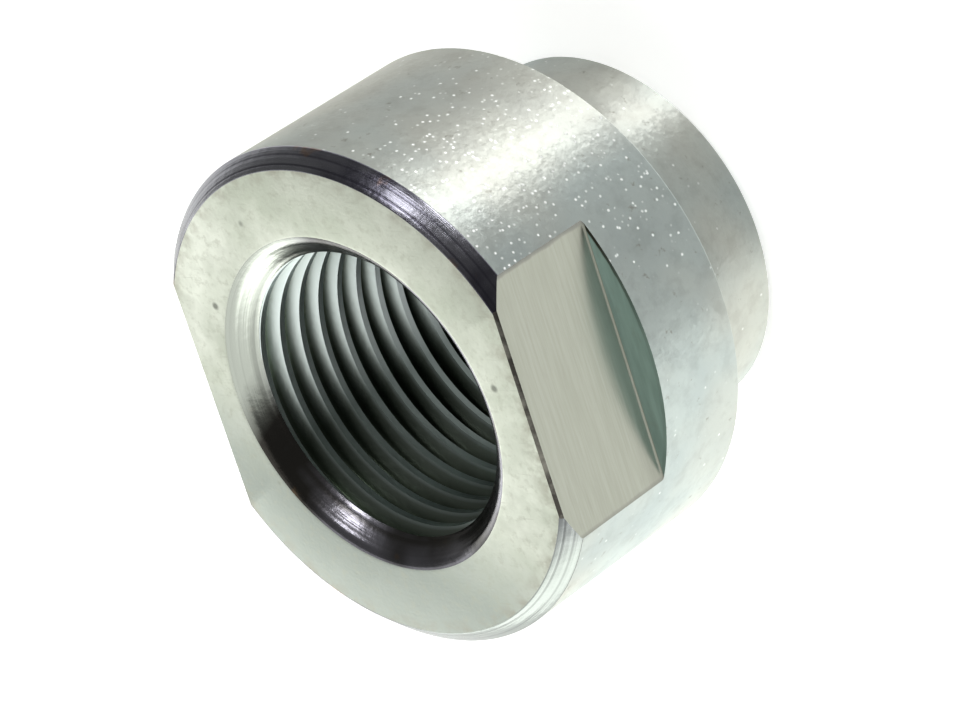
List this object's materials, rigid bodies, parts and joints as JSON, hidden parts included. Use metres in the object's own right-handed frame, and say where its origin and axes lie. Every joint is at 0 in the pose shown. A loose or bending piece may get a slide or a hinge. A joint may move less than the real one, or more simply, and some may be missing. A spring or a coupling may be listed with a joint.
{
  "type": "axle nut",
  "caption": "Round zinc-plated axle nut with a fine threaded bore, milled spanner flats, a stepped boss and a chamfered front face.",
  "frame": {"origin": "on the thread's axis, at the end face of the boss that the nut stands on", "axes": "+Z along the thread's axis, from the boss to the front face; +X out of the spanner flat that lies slightly further from the axis"},
  "size_m": [0.019, 0.019, 0.014],
  "materials": {
    "zinc_plated_steel": "satin zinc plating over turned and milled steel"
  },
  "bodies": {
    "root": {"axle_nut": "zinc_plated_steel"}
  },
  "joints": []
}
